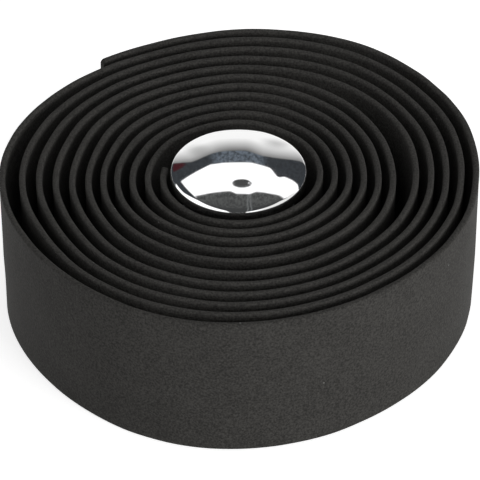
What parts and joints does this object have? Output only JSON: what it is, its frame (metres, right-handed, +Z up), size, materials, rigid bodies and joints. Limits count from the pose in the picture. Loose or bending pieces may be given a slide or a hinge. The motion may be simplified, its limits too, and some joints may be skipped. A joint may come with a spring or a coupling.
{
  "type": "handlebar tape roll",
  "caption": "Roll of black foam handlebar tape standing on its edge, wound as a spiral, with a chromed domed bar end plug standing in its core.",
  "frame": {"origin": "on the surface that the roll stands on, under the middle of the roll's outline", "axes": "+Z up along the roll's axis, towards the plug's dome; -Y is the side that the picture is taken from"},
  "size_m": [0.0912, 0.093, 0.0335],
  "materials": {
    "foam": "matt closed-cell foam with a fine grain",
    "chrome": "mirror-bright chrome plating",
    "black_plastic": "moulded black plastic, satin"
  },
  "bodies": {
    "root": {"tape": "foam", "plug_cap": "chrome", "plug_stem": "black_plastic"}
  },
  "joints": []
}
